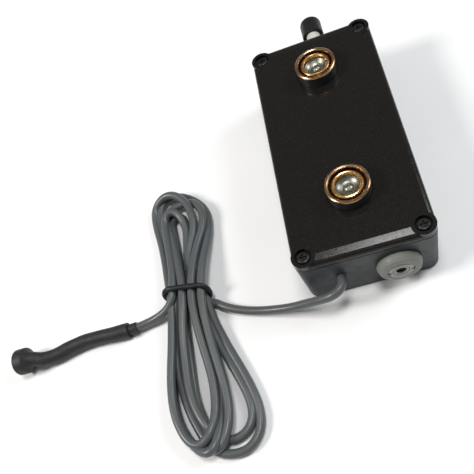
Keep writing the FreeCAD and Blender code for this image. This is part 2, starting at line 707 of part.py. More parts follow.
def tube(wire, radius):
    """A solid round rod along the wire."""
    direction = wire.Edges[0].tangentAt(wire.Edges[0].FirstParameter)
    start = wire.Edges[0].valueAt(wire.Edges[0].FirstParameter)
    circle = Part.Wire(Part.Circle(start, direction, radius).toShape())
    pipe = wire.makePipeShell([circle], True, True)
    return pipe if pipe.ShapeType == "Solid" else Part.Solid(pipe)


def add_shape(label, shape, placement=FreeCAD.Placement()):
    """A sub-part whose shape is worked out here from the sheet's sizes."""
    item = doc.addObject("Part::Feature", label)
    item.Label = label
    item.Shape = shape
    item.Placement = placement
    sub_parts.append(item)
    return item


def cord_length_check(label, wire, solid, area):
    print("%s: length %.1f, volume %.1f, section x length %.1f"
          % (label, wire.Length, solid.Volume, area*wire.Length))


def make_cord(label, points, radius):
    spots = [Vector(*point) for point in points]
    radii = bend_radii(spots)
    wire = route_wire(spots, radii)
    solid = tube(wire, radius)
    print(label, "bend radii:", ", ".join("%.1f" % value for value in radii))
    cord_length_check(label, wire, solid, math.pi*radius**2)
    add_shape(label, solid)
    return spots, radii


def sleeve_between(label, spots, radii, runs, inner, outer, end=None):
    """A tube shrunk over the cord, from the middle of one run to the middle of another."""
    first, last = runs
    start = (spots[first - 1] + spots[first])*0.5
    finish = end if end else (spots[last - 1] + spots[last])*0.5
    points = [start] + spots[first:last] + [finish]
    wire = route_wire(points, radii[first - 1:last - 1])
    solid = tube(wire, outer).cut(tube(wire, inner))
    cord_length_check(label, wire, solid, math.pi*(outer**2 - inner**2))
    add_shape(label, solid)


def tapered_slot(start, start_radius, end, end_radius, height):
    """The upright solid round two circles of different radius and their common tangents."""
    span = end - start
    heading = math.atan2(span.y, span.x)
    lean = math.acos((start_radius - end_radius)/span.Length)

    def on_circle(centre, radius, angle):
        return centre + Vector(math.cos(angle), math.sin(angle), 0)*radius

    left_start = on_circle(start, start_radius, heading + lean)
    left_end = on_circle(end, end_radius, heading + lean)
    right_start = on_circle(start, start_radius, heading - lean)
    right_end = on_circle(end, end_radius, heading - lean)
    outline = Part.Wire([
        Part.LineSegment(right_start, right_end).toShape(),
        Part.Arc(right_end, on_circle(end, end_radius, heading), left_end).toShape(),
        Part.LineSegment(left_end, left_start).toShape(),
        Part.Arc(left_start, on_circle(start, start_radius, heading + math.pi),
                 right_start).toShape()])
    return Part.Face(outline).extrude(Vector(0, 0, height))


def make_tie():
    """The rubber ring: an upright racetrack round the hank's waist, its top leaning back."""
    half = size("tie_half_width")
    low = size("tie_low")
    high = size("tie_high")
    flat = half - (high - low)/2
    path = Part.Wire([
        Part.LineSegment(Vector(-flat, 0, low), Vector(flat, 0, low)).toShape(),
        Part.Arc(Vector(flat, 0, low), Vector(half, 0, (high + low)/2),
                 Vector(flat, 0, high)).toShape(),
        Part.LineSegment(Vector(flat, 0, high), Vector(-flat, 0, high)).toShape(),
        Part.Arc(Vector(-flat, 0, high), Vector(-half, 0, (high + low)/2),
                 Vector(-flat, 0, low)).toShape()])
    lean = FreeCAD.Placement(Vector(), FreeCAD.Rotation(Vector(1, 0, 0), -size("tie_lean")),
                             Vector(0, 0, low))
    turn = FreeCAD.Placement(Vector(size("tie_x"), size("tie_y"), 0),
                             FreeCAD.Rotation(Vector(0, 0, 1), -size("tie_turn")))
    return add_shape("hank_tie", tube(path, size("tie_thickness/2")), turn.multiply(lean))


def make_tie_and_hank():
    tie = make_tie()
    height = size("hank_height")
    waist = Vector(-72.7, -37.5, 0)
    waist_radius = 8.6
    lobes = [(Vector(-73.1, 0.5, 0), 14.0), (Vector(-73.0, -88.8, 0), 12.3),
             (Vector(-61.2, -90.9, 0), 12.5)]
    solids = [tapered_slot(waist, waist_radius, centre, radius, height)
              for centre, radius in lobes]
    hank = solids[0].fuse(solids[1:]).removeSplitter().cut(tie.Shape)
    largest = max(hank.Solids, key=lambda solid: solid.Volume)
    add_shape("cable_hank", largest)


def make_lead():
    radius = size("cord_diameter/2")
    turned("lead_bush", [
        ("cord_diameter/2", "-0.05"), ("bush_radius - 0.02", "-0.05"),
        ("bush_radius - 0.02", "2.25"), ("bush_radius + 1", "2.25"), ("bush_radius + 1", "3.1"),
        ("cord_diameter/2", "3.1")], axis="Y", x="lead_x", y=FRONT_WALL, z="lead_z")
    inside = prism("lead_inside", "XZ_Plane", "0", "case_length/2 - 44",
                   draw_circles([("0", "0")], "cord_diameter/2"))
    place(inside, "lead_x", "-44", "lead_z")
    strap = turned("strain_tie", ring("cord_diameter/2", "cord_diameter/2 + 1", "4.2", "6.2"),
                   axis="Y", x="lead_x", y=FRONT_WALL, z="lead_z")
    lock = new_sketch(strap, "strap_lock", "XZ_Plane", "-6.6")
    add_box(lock, "-1.6", "cord_diameter/2 + 0.3", "1.6", "cord_diameter/2 + 3")
    pad(strap, lock, "2.8")

    make_cord("cable_lead", LEAD_ROUTE, radius)
    make_tie_and_hank()
    spots, radii = make_cord("cable_tail", TAIL_ROUTE, radius)
    inner_radius = size("inner_sleeve_diameter/2")
    outer_radius = size("outer_sleeve_diameter/2")
    sleeve_between("inner_sleeve", spots, radii, INNER_SLEEVE_RUNS, radius, inner_radius)
    sleeve_between("outer_sleeve", spots, radii, OUTER_SLEEVE_RUNS, inner_radius, outer_radius,
                   end=spots[-1])


def make_head():
    """The round head: a coin-shaped vibrating capsule gripped by a shrunk cap."""
    turn = FreeCAD.Rotation(Vector(0, 0, 1), HEAD_AXIS)
    spot = {"x": "head_x", "y": "head_y", "z": "head_z"}

    def stand(body):
        body.Placement = FreeCAD.Placement(body.Placement.Base, turn)

    back = "-(capsule_wall + 0.9)"
    front = "capsule_wall + 1.0"
    stand(turned("head_cap", [
        ("1.2", "-head_half - 2.6"), ("2.9", "-head_half - 2.6"), ("3.3", "-head_half - 1.4"),
        ("4.2", "-head_half - 0.5"), ("head_radius - 0.4", "-head_half"),
        ("head_radius", "-head_half + 0.45"), ("head_radius", "head_half - 0.45"),
        ("head_radius - 0.4", "head_half"), ("3.9", "head_half"), ("3.9", front + " + 0.02"),
        ("capsule_radius", front + " + 0.02"), ("capsule_radius", back), ("1.2", back)], **spot))
    stand(turned("capsule_cup", [
        ("0", back), ("capsule_radius - 0.02", back), ("capsule_radius - 0.02", "1.0"),
        ("capsule_radius - capsule_wall", "1.0"), ("capsule_radius - capsule_wall", "-0.9"),
        ("0.35", "-0.9"), ("0.35", "0.9"), ("0", "0.9")], **spot))
    stand(turned("capsule_cover", [
        ("0", "1.0"), ("capsule_radius - 0.02", "1.0"), ("capsule_radius - 0.02", front),
        ("0", front)], **spot))
    rotor = turned("capsule_rotor", ring("0.43", "rotor_radius", "-0.55", "0.6"), **spot)
    half = new_sketch(rotor, "rotor_cut", "XY_Plane", "0.7")
    add_box(half, "-5", "0.9", "5", "5")
    pocket(rotor, half, "1.6")
    stand(rotor)


# ---------------------------------------------------------------- assembly
make_base_shell()
make_lid()
make_screws("lid_screws", CORNERS, "base_height + lid_height - screw_recess_depth",
            "screw_shank_radius", "screw_length", "screw_head_radius", "screw_head_height")
make_transducer("transmitter", "transmitter_y")
make_transducer("receiver", "receiver_y")
make_jack()
make_range_control()
make_electronics()
make_lead()
make_head()
doc.recompute()

# ---------------------------------------------------------------- tests and export
for item in doc.Objects:
    if "Invalid" in item.State or "Error" in item.State:
        raise RuntimeError("%s failed: %s" % (item.Label, item.State))
for part in sub_parts:
    if part.Shape.isNull() or not part.Shape.isValid() or not part.Shape.Solids:
        raise RuntimeError("%s has no valid shape" % part.Label)
os.makedirs("parts", exist_ok=True)
for part in sub_parts:
    part.Shape.exportStep("parts/%s.step" % part.Label)
print("%d sub-parts written" % len(sub_parts))
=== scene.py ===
import math

import bmesh
import bpy
from mathutils import Matrix, Vector


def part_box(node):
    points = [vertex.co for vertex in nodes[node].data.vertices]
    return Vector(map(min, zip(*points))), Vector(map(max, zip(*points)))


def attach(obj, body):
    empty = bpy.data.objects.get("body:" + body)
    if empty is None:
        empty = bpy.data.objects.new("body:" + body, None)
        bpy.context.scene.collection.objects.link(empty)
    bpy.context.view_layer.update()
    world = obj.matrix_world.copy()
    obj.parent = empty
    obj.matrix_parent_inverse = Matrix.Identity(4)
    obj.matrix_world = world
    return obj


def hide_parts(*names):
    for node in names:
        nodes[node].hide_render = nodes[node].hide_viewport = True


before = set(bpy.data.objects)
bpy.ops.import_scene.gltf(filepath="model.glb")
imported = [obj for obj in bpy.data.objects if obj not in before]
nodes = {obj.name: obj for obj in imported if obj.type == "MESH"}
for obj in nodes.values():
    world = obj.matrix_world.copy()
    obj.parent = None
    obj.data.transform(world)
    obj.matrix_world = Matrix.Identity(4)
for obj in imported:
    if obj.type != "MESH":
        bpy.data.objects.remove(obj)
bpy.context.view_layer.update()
scene = bpy.context.scene
MM = 0.001


def link(obj):
    scene.collection.objects.link(obj)
    return obj


# ------------------------------------------------------------------ camera
camera = link(bpy.data.objects.new("camera", bpy.data.cameras.new("camera")))
right = Vector((0.94278, -0.14387, -0.30077))
up = Vector((0.26726, 0.86544, 0.42377))
back = Vector((0.19933, -0.47991, 0.85438))
camera.matrix_world = Matrix.Translation((0.004548, -0.141552, 0.202341)) @ Matrix(
    (right, up, back)).transposed().to_4x4()
camera.data.sensor_width = 36.0
camera.data.lens = 44.25
camera.data.shift_x = -0.04486
camera.data.shift_y = 0.0457
camera.data.clip_start = 0.005
scene.camera = camera
scene.view_settings.view_transform = "Standard"

# ------------------------------------------------------------------ cable route, in millimetres
# An open fault: most of these points were made by another program from positions on the
# photograph, the hank's turns are not worked out by a loop, and its folds are tighter than the
# cable's bend limit.

# The lead from the wall to the hank.
LEAD = [
    (-10.4, -52.0, 13.8), (-10.6, -54.6, 14.0), (-12.3, -57.0, 14.1), (-15.4, -58.1, 13.3),
    (-19.6, -57.5, 11.2), (-25.4, -56.1, 8.2), (-32.4, -54.7, 5.0), (-40.4, -52.6, 2.7),
    (-47.8, -50.6, 1.85), (-54.2, -48.2, 1.72), (-59.3, -45.4, 1.75), (-63.0, -42.4, 1.75)]

# The hank, one fold to a list, from the ring out to the fold's crown and back. FLOOR_FOLD and
# the FOOT folds point towards the viewer, the TOP folds away.
FLOOR_FOLD = [
    (-67.5, -41.9, 1.75), (-71.5, -41.3, 1.72), (-75.5, -42.2, 1.72), (-78.6, -45.2, 1.7),
    (-80.5, -49.8, 1.7), (-81.8, -57.0, 1.7), (-82.7, -65.0, 1.7), (-83.5, -72.0, 1.7),
    (-83.4, -78.6, 1.7), (-82.3, -84.9, 1.7), (-80.8, -89.6, 1.8), (-78.3, -93.9, 2.4),
    (-75.5, -97.3, 3.6), (-72.7, -99.6, 4.8), (-70.1, -100.3, 5.7), (-67.8, -98.9, 5.9),
    (-66.4, -95.8, 5.3), (-65.4, -91.6, 4.0), (-64.8, -87.7, 3.0), (-64.1, -82.9, 2.4),
    (-64.2, -77.6, 2.2), (-65.0, -71.2, 2.2), (-67.5, -61.9, 2.4), (-69.7, -53.2, 3.0),
    (-71.3, -45.3, 3.9)]
LOOP_1_TOP = [
    (-72.1, -37.0, 3.95), (-71.6, -28.0, 3.4), (-70.9, -17.4, 2.6), (-71.5, -10.4, 2.0),
    (-71.8, -4.3, 1.8), (-71.9, -1.1, 1.75), (-72.8, 1.2, 1.75), (-74.9, 2.3, 1.75),
    (-77.0, 1.4, 1.75), (-77.9, -0.9, 1.75), (-77.4, -5.9, 1.8), (-76.5, -14.5, 2.4),
    (-75.6, -24.0, 3.2)]
LOOP_1_FOOT = [
    (-75.0, -37.0, 3.95), (-75.3, -44.5, 3.8), (-75.5, -51.7, 3.1), (-75.3, -60.7, 2.1),
    (-75.1, -68.7, 1.8), (-74.8, -75.8, 1.8), (-74.0, -81.7, 1.8), (-72.5, -86.8, 1.8),
    (-71.2, -91.5, 2.0), (-70.2, -95.8, 2.8), (-69.6, -97.9, 3.1), (-68.4, -99.2, 3.5),
    (-66.8, -99.4, 3.9), (-65.3, -98.4, 4.3), (-64.3, -96.8, 4.6), (-63.1, -94.7, 4.7),
    (-62.0, -91.4, 4.7), (-61.4, -87.6, 4.5), (-61.4, -83.2, 4.4), (-61.8, -78.6, 4.4),
    (-62.5, -74.0, 4.6), (-63.5, -68.4, 4.9), (-64.7, -61.1, 5.4), (-65.7, -53.1, 6.0),
    (-66.3, -46.0, 6.7)]
LOOP_2_TOP = [
    (-66.1, -37.5, 6.95), (-65.4, -31.0, 6.6), (-64.6, -26.0, 5.9), (-63.6, -21.0, 4.8),
    (-62.4, -15.6, 3.8), (-61.5, -11.3, 3.0), (-61.0, -6.9, 2.5), (-60.9, -3.4, 2.2),
    (-61.5, 0.2, 2.0), (-62.9, 3.5, 1.9), (-65.4, 6.9, 1.9), (-68.0, 9.3, 1.9),
    (-71.0, 11.5, 2.0), (-74.7, 13.1, 2.0), (-78.8, 12.9, 1.9), (-82.2, 10.0, 1.8),
    (-83.4, 5.0, 1.75), (-83.2, -1.5, 1.75), (-81.8, -10.0, 1.8), (-80.2, -19.0, 2.4),
    (-78.7, -28.0, 3.3)]
LOOP_2_FOOT = [
    (-77.9, -37.0, 3.95), (-79.0, -43.5, 3.6), (-79.9, -50.5, 2.8), (-80.5, -58.6, 2.2),
    (-80.4, -65.9, 1.9), (-79.8, -72.7, 1.75), (-78.8, -78.7, 1.7), (-77.1, -84.4, 1.7),
    (-75.0, -89.6, 1.7), (-72.6, -94.6, 1.7), (-69.6, -98.7, 1.7), (-66.0, -101.0, 1.7),
    (-62.0, -101.8, 1.7), (-57.8, -101.4, 1.7), (-54.1, -99.3, 1.7), (-51.5, -95.6, 1.7),
    (-50.6, -90.9, 1.7), (-51.1, -85.0, 1.7), (-53.0, -78.6, 1.7), (-55.5, -71.8, 1.7),
    (-58.5, -64.8, 1.8), (-61.3, -57.3, 2.2), (-63.8, -49.8, 2.9)]
LOOP_3_TOP = [
    (-66.0, -38.0, 3.9), (-68.5, -29.0, 3.9), (-71.0, -20.2, 4.4), (-69.0, -14.0, 4.8),
    (-67.6, -10.3, 5.0), (-66.9, -6.4, 5.2), (-66.9, -3.0, 5.6), (-67.5, 0.8, 6.0),
    (-68.6, 4.2, 6.2), (-70.5, 7.5, 6.4), (-73.1, 10.3, 6.4), (-76.2, 12.0, 6.0),
    (-79.0, 12.3, 5.4), (-81.8, 11.7, 4.2), (-84.1, 10.1, 3.0), (-85.4, 7.2, 2.2),
    (-85.4, 2.2, 2.0), (-84.4, -4.1, 2.0), (-83.0, -11.3, 2.4), (-81.7, -20.7, 3.4),
    (-80.7, -29.0, 4.6)]
LOOP_3_FOOT = [
    (-79.8, -38.2, 5.2), (-80.1, -44.6, 4.9), (-80.8, -53.0, 4.8), (-81.4, -60.0, 4.9),
    (-82.1, -66.3, 5.0), (-82.6, -72.9, 5.0), (-82.6, -79.4, 5.0), (-81.8, -85.2, 5.0),
    (-80.2, -90.1, 5.0), (-78.1, -94.1, 5.0), (-75.4, -96.7, 5.0), (-72.5, -96.8, 5.2),
    (-69.9, -95.0, 5.6), (-68.1, -92.4, 5.6), (-66.8, -89.0, 5.2), (-66.1, -85.1, 4.8),
    (-65.9, -80.4, 4.6), (-66.0, -75.8, 4.7), (-66.5, -71.2, 4.8), (-67.6, -64.7, 5.2),
    (-68.8, -57.7, 5.8), (-69.8, -50.2, 6.5), (-70.4, -42.9, 7.0)]
LOOP_4_TOP = [
    (-70.1, -35.5, 6.95), (-69.1, -28.8, 6.8), (-67.5, -20.7, 5.8), (-65.1, -13.4, 5.0),
    (-63.8, -10.1, 4.8), (-62.9, -6.8, 4.8), (-62.5, -3.8, 4.8), (-62.8, -0.6, 4.8),
    (-63.7, 2.2, 4.7), (-65.5, 4.8, 4.4), (-68.1, 6.3, 4.0), (-71.7, 6.9, 3.6),
    (-74.8, 6.6, 3.2), (-77.4, 5.8, 2.9), (-79.1, 3.8, 2.8), (-79.7, 0.5, 3.0),
    (-78.9, -4.6, 3.6), (-77.6, -9.0, 4.2), (-76.7, -14.5, 4.8), (-75.7, -19.4, 5.6),
    (-74.6, -26.9, 6.6)]
LOOP_4_FOOT = [
    (-74.0, -34.5, 6.95), (-74.3, -42.6, 7.0), (-75.1, -48.7, 6.4), (-75.8, -55.0, 5.6),
    (-76.1, -61.2, 5.0), (-76.0, -68.5, 4.8), (-75.7, -74.8, 4.8), (-74.6, -81.1, 4.8),
    (-72.7, -86.7, 4.7), (-70.2, -91.4, 4.4), (-67.5, -94.8, 3.0), (-64.2, -96.5, 1.9),
    (-60.5, -96.8, 1.7), (-56.9, -95.4, 1.7), (-54.2, -92.2, 1.7), (-53.3, -88.0, 1.7),
    (-54.1, -82.7, 1.7), (-56.3, -76.2, 1.7), (-59.2, -69.3, 1.7), (-62.1, -62.3, 2.0),
    (-64.8, -53.6, 2.8), (-67.3, -45.5, 3.8)]
LOOP_5_TOP = [
    (-69.2, -37.0, 3.95), (-71.0, -28.0, 3.8), (-71.8, -19.5, 3.6), (-71.1, -12.9, 3.6),
    (-70.8, -7.7, 3.8), (-71.2, -4.2, 4.2), (-72.0, -1.6, 4.8), (-73.3, 0.9, 5.6),
    (-75.1, 2.5, 6.2), (-77.0, 2.8, 6.2), (-78.8, 1.7, 5.8), (-79.9, -0.7, 5.2),
    (-80.0, -3.7, 5.0), (-79.6, -7.3, 5.2), (-79.0, -12.7, 5.6), (-78.2, -18.9, 6.2),
    (-77.7, -26.0, 6.7), (-77.9, -33.0, 6.95)]
# From the ring to the head.
TAIL = [
    (-78.3, -36.5, 6.9), (-79.2, -39.3, 6.3), (-81.4, -41.7, 5.5), (-84.5, -43.1, 4.6),
    (-87.6, -43.8, 3.8), (-91.2, -44.3, 3.2), (-96.7, -45.1, 3.1), (-102.9, -45.5, 3.25),
    (-110.6, -45.2, 3.25), (-119.0, -44.8, 3.25), (-127.0, -46.1, 3.3), (-134.2, -48.4, 3.7),
    (-139.5, -48.8, 4.7), (-143.5, -47.9, 5.75)]
ROUTE = (LEAD + FLOOR_FOLD + LOOP_1_TOP + LOOP_1_FOOT + LOOP_2_TOP + LOOP_2_FOOT + LOOP_3_TOP
         + LOOP_3_FOOT + LOOP_4_TOP + LOOP_4_FOOT + LOOP_5_TOP + TAIL)
CORD_RADIUS = 1.7 * MM


def route_curve(name, radius):
    """The route as one open NURBS spline, with a round section if the radius is more than 0."""
    data = bpy.data.curves.new(name, "CURVE")
    data.dimensions = "3D"
    data.resolution_u = 8
    data.bevel_depth = radius
    data.bevel_resolution = 6
    spline = data.splines.new("NURBS")
    spline.points.add(len(ROUTE) - 1)
    for point, spot in zip(spline.points, ROUTE):
        point.co = (*(Vector(spot) * MM), 1.0)
    spline.order_u = 3
    spline.use_endpoint_u = True
    return link(bpy.data.objects.new(name, data))


cable = route_curve("signal_cable", CORD_RADIUS)
line = route_curve("cable_line", 0.0)
bpy.context.view_layer.update()
evaluated = line.evaluated_get(bpy.context.evaluated_depsgraph_get())
measured = bpy.data.meshes.new_from_object(evaluated)
cable_points = [vertex.co.copy() for vertex in measured.vertices]
bpy.data.objects.remove(line)
bpy.data.meshes.remove(measured)


# ------------------------------------------------------------------ mesh helpers
SHARP_ANGLE = math.radians(40.0)


def mesh_piece(name, bm):
    """A new object from a bmesh, smooth shaded but for its sharp edges."""
    bmesh.ops.recalc_face_normals(bm, faces=bm.faces)
    data = bpy.data.meshes.new(name)
    bm.to_mesh(data)
    bm.free()
    data.shade_smooth()
    data.set_sharp_from_angle(angle=SHARP_ANGLE)
    return link(bpy.data.objects.new(name, data))


def spaced(points, step):
    """Points at even spacing along a line of points."""
    gone = [0.0]
    for a, b in zip(points, points[1:]):
        gone.append(gone[-1] + (b - a).length)
    count = int(gone[-1] / step) + 1
    made, index = [], 0
    for number in range(count):
        wanted = gone[-1] * number / (count - 1)
        while index < len(points) - 2 and gone[index + 1] < wanted:
            index += 1
        span = gone[index + 1] - gone[index] or 1.0
        made.append(points[index].lerp(points[index + 1], (wanted - gone[index]) / span))
    return made


def ripple(*waves):
    """Slight unevenness for swept: a sum of waves, each a depth in millimetres, the radians that
    it gains along the whole piece, and its number of lobes round a section."""
    def lift(share, angle):
        return sum(depth * MM * math.sin(along * share + lobes * angle)
                   for depth, along, lobes in waves)
    return lift


def swept(name, points, radii, aims, sides, uneven, closed=False):
    """Round sections along points, each with its radius and the direction it faces, carried
    along without twisting. Uneven adds to a radius by share of the length and angle."""
    bm = bmesh.new()
    across = None
    sections = []
    for index, (spot, radius, aim) in enumerate(zip(points, radii, aims)):
        ahead = aim.normalized()
        if across is None:
            across = ahead.orthogonal().normalized()
        across = (across - ahead * across.dot(ahead)).normalized()
        other = ahead.cross(across)
        section = []
        for side in range(sides):
            angle = 2 * math.pi * side / sides
            reach = radius + uneven(index / (len(points) - 1), angle)
            section.append(bm.verts.new(spot + across * (reach * math.cos(angle))
                                        + other * (reach * math.sin(angle))))
        sections.append(section)
    pairs = list(zip(sections, sections[1:]))
    if closed:
        pairs.append((sections[-1], sections[0]))
    for near, far in pairs:
        for side in range(sides):
            following = (side + 1) % sides
            bm.faces.new((near[side], near[following], far[following], far[side]))
    return mesh_piece(name, bm)


# ------------------------------------------------------------------ ring round the hank
TIE_CENTRE = Vector((-72.9, -38.8, 0))
TIE_HALF_WIDTH, TIE_LOW, TIE_HIGH = 9.6, 1.15, 9.7
TIE_LEAN, TIE_TURN = math.radians(-18.0), math.radians(-9.0)
TIE_RADIUS = 1.1 * MM
STRAIGHT_STEPS, BEND_STEPS = 16, 24


def tie_line():
    """The rubber ring's centre line: a racetrack round the hank's waist, its top leaning back."""
    bend = (TIE_HIGH - TIE_LOW) / 2
    flat = TIE_HALF_WIDTH - bend
    made = []
    for end in (1, -1):
        for step in range(STRAIGHT_STEPS):
            along = -flat + 2 * flat * step / STRAIGHT_STEPS
            made.append(Vector((end * along, 0, bend - end * bend)))
        for step in range(BEND_STEPS):
            angle = math.pi * (step / BEND_STEPS - end / 2)
            made.append(Vector((end * flat + bend * math.cos(angle), 0,
                                bend + bend * math.sin(angle))))
    lean = Matrix.Rotation(TIE_LEAN, 3, "X")
    turn = Matrix.Rotation(TIE_TURN, 3, "Z")
    return [(turn @ (lean @ spot + Vector((0, 0, TIE_LOW))) + TIE_CENTRE) * MM for spot in made]


tie_points = tie_line()
tie_aims = [after - before for before, after in
            zip(tie_points[-1:] + tie_points[:-1], tie_points[1:] + tie_points[:1])]
tie = swept("hank_ring", tie_points, [TIE_RADIUS] * len(tie_points), tie_aims, sides=32,
            uneven=ripple((0.03, 41.0, 2)), closed=True)

# ------------------------------------------------------------------ sleeves and head
TAIL_STARTS = -86.0 * MM
OUTER_SLEEVE_ENDS = -138.5 * MM
SLEEVE_STEP = 0.5 * MM
INNER_SLEEVE_RADIUS = 2.22
OUTER_SLEEVE_BORE = 2.2
# where the inner sleeve ends, from its CAD box: past the hidden end, and short of the other
INNER_SLEEVE_PAST, INNER_SLEEVE_SHORT = 2.0 * MM, 2.2 * MM
HEAD = Vector((-147.5, -47.8, 5.7)) * MM
HEAD_AXIS = Vector((-0.999, 0.011, -0.04)).normalized()


def sleeve(name, points, bore, outside, uneven):
    """A shrunk sleeve over the cable, its near end cut square so that its wall shows. Its bore
    is in millimetres, and outside gives its radius in millimetres at a share of the length."""
    spots = spaced(points, SLEEVE_STEP)
    last = len(spots) - 1
    ahead = (spots[1] - spots[0]).normalized()
    edge = outside(0.0)
    # out of the bore and round the cut edge: millimetres along the cable, and the radius there
    cut = ((0.8, bore), (0.04, bore), (0.0, bore + 0.06), (0.02, edge - 0.12), (0.14, edge))
    walk = [spots[0] + ahead * (along * MM) for along, radius in cut] + spots[1:]
    radii = [radius * MM for along, radius in cut]
    radii += [outside(index / last) * MM for index in range(1, len(spots))]
    aims = [ahead] * len(cut) + [spots[min(index + 1, last)] - spots[index - 1]
                                 for index in range(1, len(spots))]
    return swept(name, walk, radii, aims, sides=48, uneven=uneven)


def outer_radius(share):
    """The outer sleeve's radius: narrowing over its first third, and then hardly at all."""
    return 3.16 - 0.18 * min(1.0, share * 3) - 0.04 * share


tail_points = [spot for spot in cable_points if spot.x < TAIL_STARTS]
inner_low, inner_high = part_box("inner_sleeve")
outer_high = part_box("outer_sleeve")[1]
inner_points = [spot for spot in tail_points
                if inner_low.x - INNER_SLEEVE_PAST <= spot.x
                <= inner_high.x - INNER_SLEEVE_SHORT]
outer_points = [spot for spot in tail_points if OUTER_SLEEVE_ENDS <= spot.x <= outer_high.x]
inner_sleeve = sleeve("inner_shrink_sleeve", inner_points, CORD_RADIUS / MM,
                      lambda share: INNER_SLEEVE_RADIUS, ripple((0.03, 17, 1)))
outer_sleeve = sleeve("outer_shrink_sleeve", outer_points, OUTER_SLEEVE_BORE, outer_radius,
                      ripple((0.05, 9, 2), (0.04, 31, 1)))

# The neck's radius in millimetres at shares of its length, then the rim's at millimetres from
# the head's middle along its axis: out to the rim, round it and into the open front.
NECK = ((0.0, 2.4), (0.004, 2.88), (0.02, 2.94), (0.2, 2.95), (0.4, 2.96), (0.6, 2.97),
        (0.8, 2.98), (1.0, 3.02))
NECK_ENDS = -4.6
RIM = ((-4.2, 3.12), (-3.8, 3.3), (-3.4, 3.56), (-3.05, 3.88), (-2.75, 4.24), (-2.5, 4.62),
       (-2.36, 4.88), (-2.26, 5.1), (-2.12, 5.28), (-1.9, 5.4), (-1.5, 5.45), (-0.6, 5.47),
       (0.5, 5.46), (1.5, 5.45), (1.95, 5.42), (2.15, 5.32), (2.27, 5.15), (2.32, 4.9),
       (2.33, 4.4), (2.32, 4.1), (2.22, 3.94), (1.9, 3.91), (1.44, 3.9))


def head_sections():
    """The head's outline: a neck that goes on from the sleeve and flares into a round rim,
    whose open front shows the capsule. Each section is a centre, a radius and a direction."""
    start = outer_points[-1]
    facing = (outer_points[-1] - outer_points[-4]).normalized()
    finish = HEAD + HEAD_AXIS * (NECK_ENDS * MM)
    bend = start + facing * ((finish - start).length / 2)
    made = []
    for share, radius in NECK:
        spot = start * (1 - share) ** 2 + bend * (2 * share * (1 - share)) + finish * share ** 2
        aim = (bend - start) * (1 - share) + (finish - bend) * share
        made.append((spot, radius * MM, aim.normalized().lerp(HEAD_AXIS, share ** 3)))
    for height, radius in RIM:
        made.append((HEAD + HEAD_AXIS * (height * MM), radius * MM, HEAD_AXIS))
    return made


head = swept("head_boot", *zip(*head_sections()), sides=96,
             uneven=ripple((0.04, 7, 2), (0.02, 0, 5)))


# ------------------------------------------------------------------ materials
NOISE_LOW, NOISE_HIGH = 0.3, 0.7


class Shader:
    """A Principled material whose detail comes from procedural textures in object space."""

    def __init__(self, name, colour, roughness, metallic=0.0, **sockets):
        self.material = bpy.data.materials.new(name)
        self.material.use_nodes = True
        self.tree = self.material.node_tree
        self.tree.nodes.clear()
        output = self.tree.nodes.new("ShaderNodeOutputMaterial")
        self.bsdf = self.tree.nodes.new("ShaderNodeBsdfPrincipled")
        self.tree.links.new(self.bsdf.outputs["BSDF"], output.inputs["Surface"])
        self.bsdf.inputs["Base Color"].default_value = (*colour, 1.0)
        self.bsdf.inputs["Roughness"].default_value = roughness
        self.bsdf.inputs["Metallic"].default_value = metallic
        for socket, value in sockets.items():
            self.bsdf.inputs[socket.replace("_", " ")].default_value = value
        self.coordinates = self.tree.nodes.new("ShaderNodeTexCoord").outputs["Object"]

    def link(self, source, target):
        self.tree.links.new(source, target)

    def noise(self, size_mm, detail):
        """Noise with features about size_mm across."""
        node = self.tree.nodes.new("ShaderNodeTexNoise")
        node.inputs["Scale"].default_value = 1.0 / (size_mm * MM)
        node.inputs["Detail"].default_value = detail
        self.link(self.coordinates, node.inputs["Vector"])
        return node.outputs["Fac"]

    def turning_marks(self, centre, across, pitch_mm):
        """Noise that depends only on the distance from an axis through centre. Across is 1 for
        each coordinate that counts towards that distance."""
        mapping = self.tree.nodes.new("ShaderNodeMapping")
        mapping.inputs["Location"].default_value = [-value * scale
                                                    for value, scale in zip(centre, across)]
        mapping.inputs["Scale"].default_value = across
        self.link(self.coordinates, mapping.inputs["Vector"])
        length = self.tree.nodes.new("ShaderNodeVectorMath")
        length.operation = "LENGTH"
        self.link(mapping.outputs["Vector"], length.inputs[0])
        node = self.tree.nodes.new("ShaderNodeTexNoise")
        node.noise_dimensions = "1D"
        node.inputs["Scale"].default_value = 1.0 / (pitch_mm * MM)
        node.inputs["Detail"].default_value = 2.0
        self.link(length.outputs["Value"], node.inputs["W"])
        return node.outputs["Fac"]

    def colours(self, source, stops):
        """The base colour from a ramp of (position, colour) stops."""
        node = self.tree.nodes.new("ShaderNodeValToRGB")
        elements = node.color_ramp.elements
        while len(elements) < len(stops):
            elements.new(0.5)
        for element, (position, colour) in zip(elements, stops):
            element.position = position
            element.color = (*colour, 1.0)
        self.link(source, node.inputs["Fac"])
        self.link(node.outputs["Color"], self.bsdf.inputs["Base Color"])

    def mottle(self, source, dark, light):
        """The base colour from dark to light over the noise's usual range."""
        self.colours(source, [(NOISE_LOW, dark), (NOISE_HIGH, light)])

    def roughness(self, source, low, high):
        """The roughness from low to high over the noise's usual range."""
        node = self.tree.nodes.new("ShaderNodeMapRange")
        node.inputs["From Min"].default_value = NOISE_LOW
        node.inputs["From Max"].default_value = NOISE_HIGH
        node.inputs["To Min"].default_value = low
        node.inputs["To Max"].default_value = high
        self.link(source, node.inputs["Value"])
        self.link(node.outputs["Result"], self.bsdf.inputs["Roughness"])

    def bump(self, source, depth_mm):
        node = self.tree.nodes.new("ShaderNodeBump")
        node.inputs["Strength"].default_value = 1.0
        node.inputs["Distance"].default_value = depth_mm * MM
        self.link(source, node.inputs["Height"])
        self.link(node.outputs["Normal"], self.bsdf.inputs["Normal"])


def shade(colour, factor):
    return tuple(min(1.0, value * factor) for value in colour)


